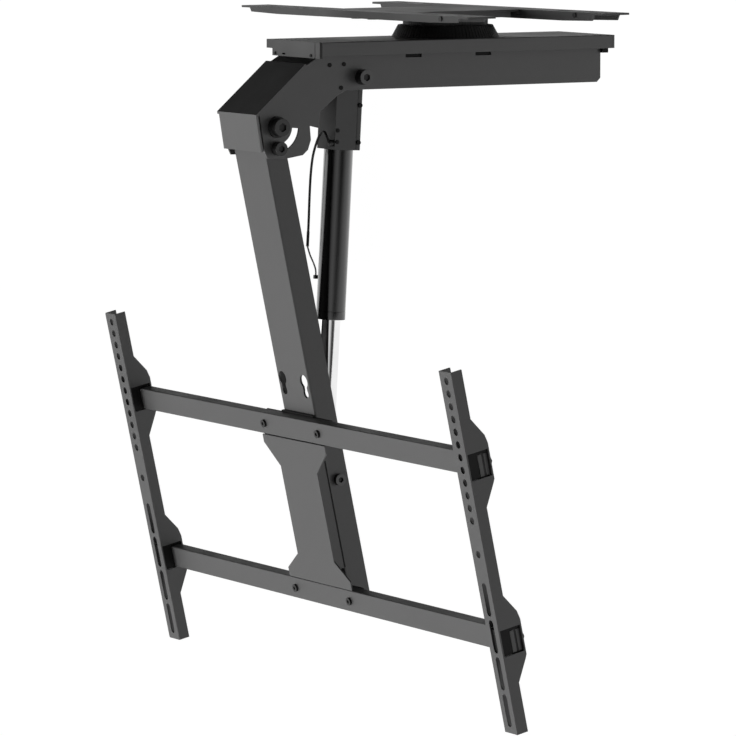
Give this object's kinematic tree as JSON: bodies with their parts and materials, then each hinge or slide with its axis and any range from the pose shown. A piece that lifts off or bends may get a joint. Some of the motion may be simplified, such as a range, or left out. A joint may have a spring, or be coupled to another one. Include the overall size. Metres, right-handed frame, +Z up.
{
  "type": "motorized tv ceiling mount",
  "caption": "Motor-driven ceiling mount for a flat screen: a swivelling beam, a drop arm that a linear actuator folds up, and slotted brackets on two rails.",
  "frame": {"origin": "centre of the ceiling face, on the swivel axis", "axes": "+Z up to the ceiling; +Y back along the beam, away from the screen; +X along the rails, to the right of someone who looks at the screen's back from the front plate's side"},
  "size_m": [0.83, 0.493, 0.8016],
  "materials": {
    "bar_paint": "fine satin black powder coat",
    "plate_paint": "fine satin black powder coat",
    "black_plastic": "matt moulded black",
    "bearing_plastic": "smooth acetal",
    "bolt_black": "black oxide",
    "steel": "turned steel",
    "gear_metal": "cast aluminium",
    "beam_paint": "fine satin black powder coat",
    "arm_paint": "fine satin black powder coat",
    "bracket_paint": "fine satin black powder coat",
    "actuator_paint": "smooth semi-gloss black",
    "chrome": "hard chrome",
    "brass": "machined",
    "board_green": "solder mask",
    "wire_grey": "satin insulation"
  },
  "bodies": {
    "ceiling": {"front_ceiling_bar": "bar_paint", "rear_ceiling_bar": "bar_paint", "centre_plate": "plate_paint", "bar_bolts": "bolt_black", "edge_screws": "bolt_black", "swivel_pan": "plate_paint", "ribbed_ring": "black_plastic", "spindle": "steel", "retaining_collar": "steel"},
    "beam": {"ribbed_skirt": "black_plastic", "swivel_hub": "steel", "thrust_washer": "bearing_plastic", "tray_cover": "beam_paint", "front_cap": "black_plastic", "rear_cap": "black_plastic", "dark_blocks": "black_plastic", "control_case": "black_plastic", "circuit_board": "board_green", "power_inlet": "black_plastic", "beam": "beam_paint", "hood_cover": "beam_paint", "trim_screws": "bolt_black", "pivot_bushes": "bearing_plastic", "arm_pivot_bolt": "bolt_black", "anchor_bolt": "bolt_black", "anchor_spacers": "steel"},
    "arm": {"arm": "arm_paint", "stop_bolt": "bolt_black", "rail_saddles": "arm_paint", "front_plate": "arm_paint", "upper_rail": "arm_paint", "lower_rail": "arm_paint", "rail_end_caps": "black_plastic", "rail_bolts": "bolt_black", "rod_pin_heads": "bolt_black"},
    "actuator": {"actuator_housing": "actuator_paint", "housing_cover": "actuator_paint", "cover_screws": "bolt_black", "motor": "steel", "gearbox": "gear_metal", "outer_tube": "actuator_paint", "tube_seal": "black_plastic", "lead_screw": "steel", "cord_gland": "black_plastic", "cord_lead": "black_plastic", "cord_wires": "wire_grey", "cord_plug": "black_plastic"},
    "rod": {"chrome_rod": "chrome", "rod_guide": "bearing_plastic", "drive_nut": "brass", "rod_eye": "steel", "rod_pin": "steel"},
    "left_bracket": {"left_bracket": "bracket_paint", "left_slide_pads": "black_plastic", "left_clamp_straps": "bracket_paint", "left_clamp_screws": "bolt_black"},
    "right_bracket": {"right_bracket": "bracket_paint", "right_slide_pads": "black_plastic", "right_clamp_straps": "bracket_paint", "right_clamp_screws": "bolt_black"}
  },
  "joints": [
    {"name": "beam_swivel", "type": "hinge", "parent": "ceiling", "child": "beam", "pos_m": [0, 0, 0], "axis": [0, 0, 1], "range_deg": [-41, 49]},
    {"name": "arm_fold", "type": "hinge", "parent": "beam", "child": "arm", "pos_m": [0, -0.2595, -0.131], "axis": [1, 0, 0], "range_deg": [0, 75]},
    {"name": "actuator_swing", "type": "hinge", "parent": "beam", "child": "actuator", "pos_m": [0, -0.1445, -0.0755], "axis": [1, 0, 0], "range_deg": [0, 79.07]},
    {"name": "rod_slide", "type": "slide", "parent": "actuator", "child": "rod", "axis": [0, -0.0564, -0.9984], "range_m": [-0.15296, 0]},
    {"name": "left_bracket_slide", "type": "slide", "parent": "arm", "child": "left_bracket", "axis": [1, 0, 0], "range_m": [-0.02, 0.277]},
    {"name": "right_bracket_slide", "type": "slide", "parent": "arm", "child": "right_bracket", "axis": [1, 0, 0], "range_m": [-0.304, 0]}
  ],
  "couplings": [
    {"joint": "actuator_swing", "follows": "arm_fold", "ratio": 1.0541},
    {"joint": "rod_slide", "follows": "arm_fold", "m_per_rad": -0.11684}
  ]
}
